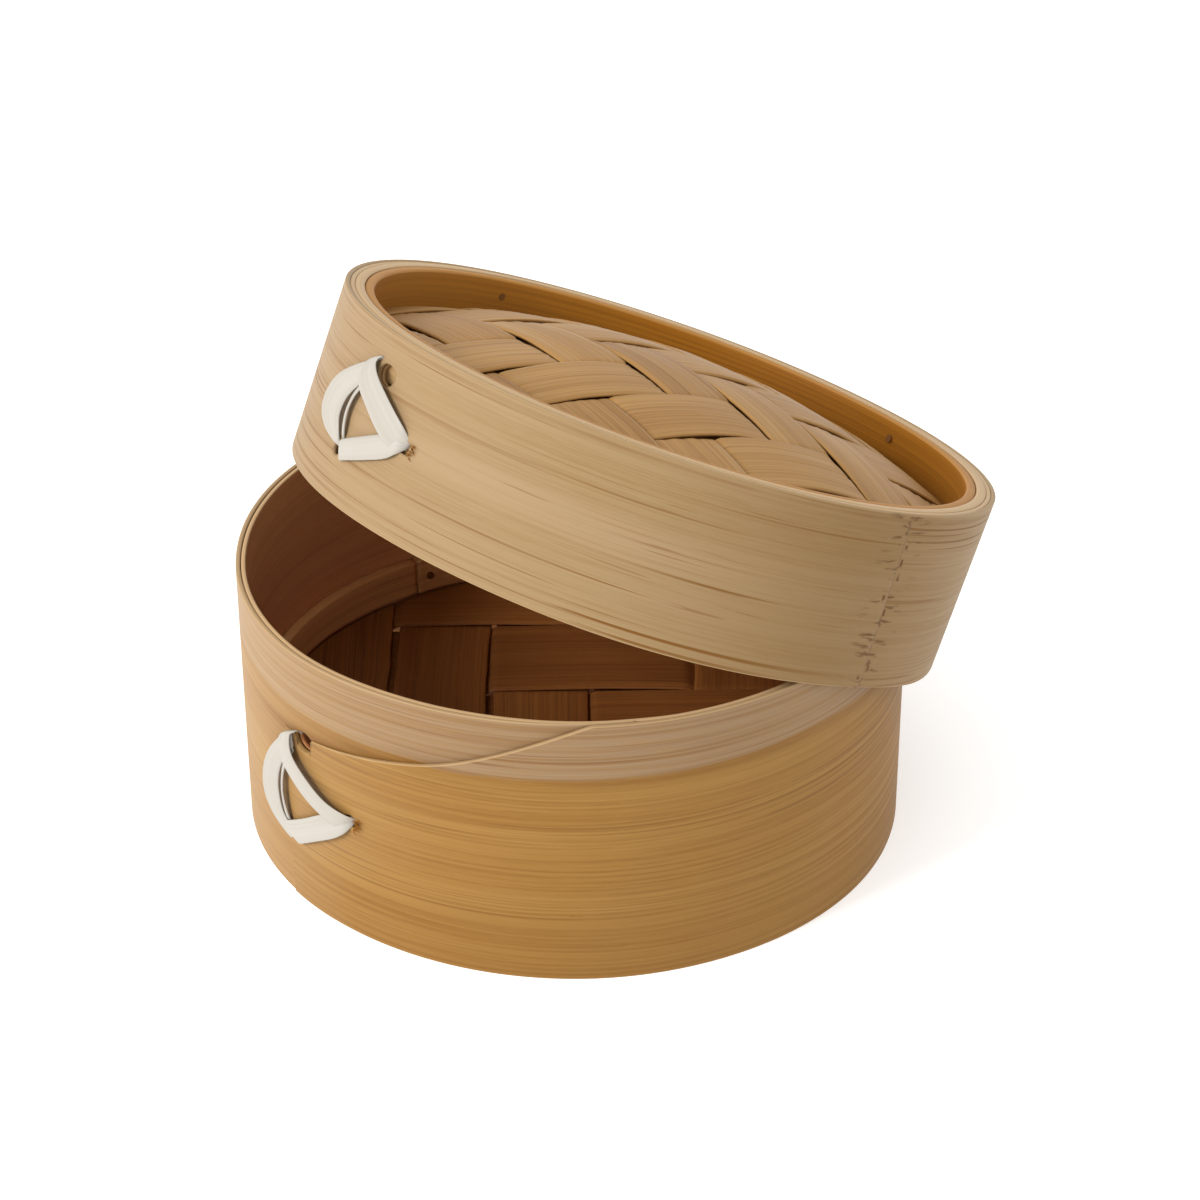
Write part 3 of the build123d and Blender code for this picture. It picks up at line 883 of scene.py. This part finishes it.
def weave(home, turn, names, nodes, warp, weft, phase, gaps, shape, material, seed):
    """A two-over, two-under mat of warp strips along Y and weft strips along X."""
    count = (len(warp), len(weft))
    for column, span in enumerate(warp):
        levels = [1 if (column + row + phase) % 4 < 2 else -1 for row in range(count[1])]
        strip = woven_strip(
            f"{names[0]}_{column + 1}", home, turn, True, span, gaps[0], weft, levels, shape, seed + column
        )
        finish_piece(strip, home, "bamboo_strip", material, f"{nodes[0]}_{column + 1}")
    for row, span in enumerate(weft):
        levels = [-1 if (column + row + phase) % 4 < 2 else 1 for column in range(count[0])]
        strip = woven_strip(
            f"{names[1]}_{row + 1}", home, turn, False, span, gaps[1], warp, levels, shape, seed + 20 + row
        )
        finish_piece(strip, home, "bamboo_strip", material, f"{nodes[1]}_{row + 1}")


def make_floor():
    shape = {
        "level": FLOOR_LEVEL, "curve": 0.0, "rise": 0.43, "arch": 0.3, "crown": 0.1, "lip": 0.05,
        "split": 0.12, "trim": FLOOR_TRIM, "ramp": 2.4, "uneven": 0.02, "ridges": 1.0,
    }
    weave(
        basket_home, 0.0, ("floor_warp", "floor_weft"), ("floor_warp_strip", "floor_weft_strip"),
        spans(*FLOOR_WARP), spans(*FLOOR_WEFT), FLOOR_PHASE, FLOOR_GAPS, shape, floor_skin, 100,
    )


BASKET_RIBBONS = {
    "front": (
        (-2.4, 44.2, -2.0, -3.2, 42.8, -2.0),
        (-2.4, 44.7, 0.5, -5.0, 43.4, 0.5),
        (-3.2, 43.4, 1.3, -7.2, 41.2, 1.4),
        (-2.2, 39.4, 1.7, -6.2, 36.4, 1.7),
        (2.6, 35.8, 1.8, -0.8, 32.2, 1.7),
        (8.2, 32.6, 1.6, 5.0, 29.2, 1.5),
        (13.4, 31.2, 1.0, 10.8, 27.2, 1.0),
        (15.2, 30.2, -0.6, 13.8, 28.0, -0.6),
        (15.6, 30.0, -2.2, 14.6, 28.4, -2.2),
    ),
    "low": (
        (-11.2, 17.8, 0.75, -2.4, 15.9, 0.75),
        (-7.0, 19.4, 0.8, -0.6, 17.0, 0.8),
        (0.0, 23.6, 0.8, 4.2, 20.0, 0.8),
        (6.4, 27.8, 0.8, 9.6, 23.4, 0.8),
        (11.6, 30.2, 0.7, 12.9, 26.0, 0.7),
        (14.6, 30.2, -0.6, 14.4, 27.8, -0.6),
        (15.0, 30.0, -2.2, 14.8, 28.2, -2.2),
    ),
    "bowed": (
        (-3.6, 43.6, 0.35, -3.2, 40.6, 0.35),
        (-4.6, 43.2, 0.9, -3.6, 39.6, 0.7),
        (-6.8, 41.4, 1.7, -4.9, 37.8, 1.0),
        (-11.2, 35.6, 2.3, -7.9, 33.4, 1.1),
        (-13.8, 29.4, 2.5, -9.6, 28.6, 1.1),
        (-14.2, 23.8, 2.3, -9.6, 24.2, 1.0),
        (-12.2, 19.2, 1.6, -8.4, 20.6, 0.8),
        (-8.6, 16.2, 0.7, -5.6, 18.4, 0.5),
        (-6.2, 15.2, 0.35, -3.8, 17.2, 0.3),
    ),
    "inner": (
        (-3.8, 40.6, 0.2, -3.0, 39.6, 0.5),
        (-5.4, 38.4, 0.4, -4.2, 37.2, 1.0),
        (-8.0, 33.4, 0.35, -6.6, 32.6, 1.2),
        (-9.2, 27.6, 0.35, -7.6, 27.4, 1.2),
        (-8.8, 22.8, 0.35, -6.9, 23.6, 1.1),
        (-7.6, 19.6, 0.1, -6.2, 20.4, 0.5),
        (-7.4, 17.6, -1.6, -6.6, 17.6, -1.6),
    ),
}

LID_RIBBONS = {
    "front": (
        (-2.6, 32.6, -1.4, -3.4, 31.2, -1.4),
        (-2.8, 33.2, 0.5, -5.6, 31.8, 0.5),
        (-3.2, 31.8, 1.2, -7.6, 28.8, 1.3),
        (-1.2, 29.8, 1.5, -5.6, 25.4, 1.6),
        (3.0, 27.4, 1.5, -0.9, 22.6, 1.6),
        (7.6, 24.8, 1.3, 4.4, 19.4, 1.3),
        (11.0, 22.6, 0.7, 9.2, 17.4, 0.9),
        (12.6, 20.8, -0.5, 11.6, 18.2, -0.5),
        (12.8, 20.2, -1.6, 12.4, 18.6, -1.6),
    ),
    "low": (
        (-8.9, 10.9, -1.6, -8.6, 9.6, -1.6),
        (-7.9, 12.2, 0.4, -6.2, 8.8, 0.4),
        (-6.4, 13.2, 0.8, -4.2, 9.4, 0.8),
        (0.2, 16.4, 0.8, 2.6, 12.2, 0.8),
        (6.0, 19.2, 0.8, 8.2, 14.8, 0.8),
        (9.8, 21.0, 0.7, 10.8, 16.8, 0.7),
        (12.0, 20.6, -0.5, 12.0, 18.2, -0.5),
        (12.4, 20.2, -1.6, 12.2, 18.6, -1.6),
    ),
    "bowed": (
        (-4.4, 31.6, 0.35, -3.8, 28.8, 0.35),
        (-5.6, 31.2, 0.9, -4.6, 27.8, 0.8),
        (-8.8, 29.0, 1.9, -6.4, 25.8, 1.0),
        (-13.2, 25.2, 2.7, -9.2, 22.6, 1.1),
        (-15.6, 20.8, 3.0, -10.6, 19.6, 1.1),
        (-15.8, 16.6, 2.8, -10.8, 16.8, 1.0),
        (-13.8, 13.4, 1.9, -9.8, 14.4, 0.7),
        (-10.6, 11.4, 0.5, -8.8, 12.2, 0.2),
        (-9.4, 10.4, -1.6, -8.6, 10.6, -1.6),
    ),
    "inner": (
        (-4.4, 29.0, 0.2, -3.6, 28.0, 0.5),
        (-5.8, 27.2, 0.4, -4.8, 26.2, 1.0),
        (-8.4, 23.4, 0.35, -6.8, 23.0, 1.2),
        (-9.5, 19.6, 0.35, -7.8, 19.6, 1.2),
        (-9.2, 16.4, 0.35, -7.6, 16.8, 1.1),
        (-8.4, 13.6, 0.1, -7.2, 14.2, 0.6),
        (-8.4, 11.4, -1.5, -7.8, 11.2, -1.5),
    ),
}


def frays(name, home, radius, hole, seed):
    """Short broken fibres at the right of a tie's side hole, each a thin closed spike."""
    rng = np.random.default_rng(seed)
    points, faces, uv = [], [], []
    for number in range(11):
        along = rng.uniform(0.9, 2.2)
        up = rng.uniform(-1.7, 1.5)
        length, width = rng.uniform(0.9, 2.6), rng.uniform(0.16, 0.34)
        rise = rng.uniform(0.15, 0.7)
        tilt = rng.uniform(-0.7, 0.5)
        root = [
            (along, up + width / 2, -0.1),
            (along, up - width / 2, -0.1),
            (along, up, 0.22),
        ]
        root.append((along + length * cos(tilt), up + length * sin(tilt), rise))
        for s, z, off in root:
            points.append(home.round(hole[0] + np.degrees(s / radius), radius + off, hole[1] + z))
        base = 4 * number
        for face in ((0, 1, 2), (0, 1, 3), (1, 2, 3), (2, 0, 3)):
            faces.append(tuple(base + corner for corner in face))
            uv += [(length * MM * (corner == 3), 0.01 * number + width * MM * corner) for corner in face]
    marks = {"seed": np.full(len(points), float(seed)), "edge": np.zeros(len(points))}
    piece = add_mesh(name, np.array(points), faces, uv, marks)
    piece.data.polygons.foreach_set("use_smooth", [False] * len(piece.data.polygons))
    return piece


def make_tie(body_name, home, radius, holes, ribbons, node, seed):
    for number, (part, rails) in enumerate(ribbons.items()):
        strand = ribbon(f"{body_name}_tie_{part}", home, radius, holes[0][0], rails, seed + number)
        finish_piece(strand, home, "bamboo_ribbon", ribbon_skin, node)
    spikes = frays(f"{body_name}_tie_frays", home, radius, holes[2], seed + 9)
    finish_piece(spikes, home, "bamboo_sheet", hoop_skin)


# ---- lid


def lid_round(azimuth):
    """How far the lid's band is out of round."""
    return 0.6 * swell(azimuth, 105, 40) - 0.62 * swell(azimuth, -105, 55) + 0.1 * round_wander(azimuth, 41)


def lid_groove(turns, height):
    """The dark line under the rounded rim."""
    return np.exp(-(((height - LID_HEIGHT + 1.5) / 0.35) ** 2)) * (0.5 + 0.5 * wander(turns, 81, 50.0))


def seam_gap(turns, height):
    """Distance along the wall from the seam, in millimetres."""
    seam = LID_SEAM + seam_lean_angle(height)
    return np.clip(np.radians(angle_from(turns, seam)) * LID_RADIUS, -30, 30)


def seam_lean_angle(height):
    return 1.3 - 2.1 * height / LID_HEIGHT


def seam_lean(station, height):
    """The sheet's visible end leans, and evens out within a few degrees."""
    return seam_lean_angle(height) * (1 - ease(0, 15, LID_SEAM - station))


def lid_painted_light(turns, height):
    """Painted light and shade: the sheet is paler at the left, where the key light falls, and browner at the
    shaded right.
    """
    return 0.7 * swell(turns, -70, 70) - 2.0 * swell(turns, 34, 46)


def hoop_tone(turns, height):
    """The hoops are paler at the back left."""
    return swell(turns, -130, 65)


def make_lid_outer_sheet():
    along, up = hole_spots(LID_HOLES)
    rows = stations(0, LID_HEIGHT, 3.0, 0.42, up + [(LID_HEIGHT - 1.4, 1.4)])
    turn = stations(LID_SEAM - 372, LID_SEAM, 0.75, 0.34, along)[::-1]
    run = LID_SEAM - turn
    outer = LID_RADIUS - 0.2 * ease(318, 360, run) + lid_round(turn)
    thickness = SHEET - 0.93 * (1 - ease(0, 13, run)) - 0.6 * ease(345, 360, run)
    top = LID_HEIGHT + 0.1 * round_wander(turn, 43, (4, 7, 11))
    foot = -0.9 * swell(turn, -80, 60) - 0.7 * swell(turn, -5, 60) - 1.5 * swell(turn, 66, 34)
    marks = {
        "dark_line_and_shade": lid_groove,
        "seam": seam_gap,
        # Painted shade beside the tie's side hole, and painted light and shade across the sheet.
        "hole_shade": tie_hole_shade(LID_HOLES[2], LID_RADIUS),
        "tone_and_light": lid_painted_light,
    }
    wall = bent_band(
        "lid_outer_wall", lid_home, turn, outer, thickness, foot, top, False, 6,
        rows=rows, holes=LID_HOLES, lean=seam_lean, marks=marks,
    )
    return finish_piece(wall, lid_home, "bamboo_sheet", lid_skin, "lid_outer_sheet")


def make_lid_hoops():
    even = full_turn()
    along, up = hole_spots(LID_HOLES[:1])
    drilled = stations(-180, 179.25, 0.75, 0.34, along)
    low_rim = LID_HEIGHT - 0.1
    drilled_rows = stations(HOOP_BOTTOM, low_rim, 3.0, 0.42, up)
    pieces = (
        (
            "lid_inner_wall", LID_INNER_RADIUS, 1.1, HOOP_BOTTOM, low_rim,
            "lid_inner_sheet", rim_skin, 7, 0.25,
        ),
        (
            "lid_lower_ring", HOOP_RADIUS, 3.05, HOOP_BOTTOM, LOWER_HOOP_TOP,
            "lid_lower_hoop", hoop_skin, 8, 0.6,
        ),
        (
            "lid_rim_outer_wrap", HOOP_RADIUS, 2.2, OUTER_WRAP_BOTTOM, LID_HEIGHT,
            "lid_upper_hoop_outer_wrap", rim_skin, 9, 0.3,
        ),
        (
            "lid_rim_inner_wrap", WRAP_JOINT, 2.25, INNER_WRAP_BOTTOM, low_rim,
            "lid_upper_hoop_inner_wrap", hoop_skin, 10, 0.7,
        ),
    )
    for name, radius, thick, foot, top, node, material, seed, rounding in pieces:
        holed = name == "lid_inner_wall"
        turn = drilled if holed else even
        uneven = top + 0.12 * round_wander(turn, 50 + seed, (3, 5, 8))
        ring = bent_band(
            name, lid_home, turn, radius + lid_round(turn), thick, foot, uneven, True, seed,
            rounding=rounding, rows=drilled_rows if holed else None, holes=LID_HOLES[:1] if holed else (),
            marks={"tone_and_light": hoop_tone},
        )
        slot_name = "bamboo_sheet" if holed else "bamboo_hoop"
        finish_piece(ring, lid_home, slot_name, material, node)


def make_dome():
    shape = {
        "level": DOME_CROWN, "curve": DOME_CURVE, "rise": 0.6, "arch": 0.7, "crown": 0.2, "lip": 0.1,
        "split": 0.0, "trim": DOME_TRIM, "ramp": 2.6, "uneven": 0.035, "ridges": 1.9,
    }
    weave(
        lid_home, WEAVE_TURN, ("dome_warp", "dome_weft"), ("lid_warp_strip", "lid_weft_strip"),
        spans(*DOME_WARP), spans(*DOME_WEFT), DOME_PHASE, DOME_GAPS, shape, strip_skin, 200,
    )


# ---- light, floor and camera


def make_camera():
    elevation = radians(CAMERA_ELEVATION)
    position = np.array([0, -cos(elevation), sin(elevation)]) * CAMERA_DISTANCE * MM
    ahead = np.array([0, cos(elevation), -sin(elevation)])
    right = np.array([1.0, 0, 0])
    up = np.cross(right, ahead)
    view = rotation(*CAMERA_TURN) @ np.stack([right, up, -ahead])
    data = bpy.data.cameras.new("camera")
    data.lens = CAMERA_LENS
    data.sensor_width = 36
    data.clip_end = 20
    camera = bpy.data.objects.new("camera", data)
    matrix = Matrix(view.T.tolist()).to_4x4()
    matrix.translation = Vector(position)
    camera.matrix_world = matrix
    bpy.context.scene.collection.objects.link(camera)
    bpy.context.scene.camera = camera


def make_studio():
    half = 6.0
    mesh = bpy.data.meshes.new("studio_floor")
    corners = [(-half, -half, 0), (half, -half, 0), (half, half, 0), (-half, half, 0)]
    mesh.from_pydata(corners, [], [(0, 1, 2, 3)])
    floor = bpy.data.objects.new("studio_floor", mesh)
    paper = Graph("studio_paper")
    paper.shader.inputs["Base Color"].default_value = (0.96, 0.96, 0.96, 1)
    paper.shader.inputs["Roughness"].default_value = 0.9
    paper.shader.inputs["Emission Color"].default_value = (1, 1, 1, 1)
    paper.shader.inputs["Emission Strength"].default_value = 0.3
    mesh.materials.append(paper.material)
    bpy.context.scene.collection.objects.link(floor)
    world = bpy.data.worlds.new("studio")
    bpy.context.scene.world = world
    world.use_nodes = True
    background = world.node_tree.nodes["Background"]
    background.inputs[0].default_value = (1, 1, 1, 1)
    background.inputs[1].default_value = 1.0
    lamps = (("key", (-1.05, -0.65, 0.85), 0.5, 17.0),)
    for name, place, size, power in lamps:
        data = bpy.data.lights.new(name, "AREA")
        data.size = size
        data.energy = power
        lamp = bpy.data.objects.new(name, data)
        lamp.location = place
        lamp.rotation_euler = (Vector((0, 0, 0.05)) - Vector(place)).to_track_quat("-Z", "Y").to_euler()
        bpy.context.scene.collection.objects.link(lamp)
    bpy.context.scene.view_settings.view_transform = "Standard"


make_camera()
make_studio()
make_basket_sheets()
make_basket_rings()
make_floor()
make_tie("basket", basket_home, BASKET_RADIUS, BASKET_HOLES, BASKET_RIBBONS, "basket_tie", 300)
make_lid_outer_sheet()
make_lid_hoops()
make_dome()
make_tie("lid", lid_home, LID_RADIUS, LID_HOLES, LID_RIBBONS, "lid_tie", 320)
for node, material in (
    ("basket_ring_pegs", peg_skin),
    ("lid_hoop_pegs", peg_skin),
    ("basket_floor_slat_1", floor_skin),
    ("basket_floor_slat_2", floor_skin),
):
    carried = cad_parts[node]
    carried.data.materials.clear()
    carried.data.materials.append(material)
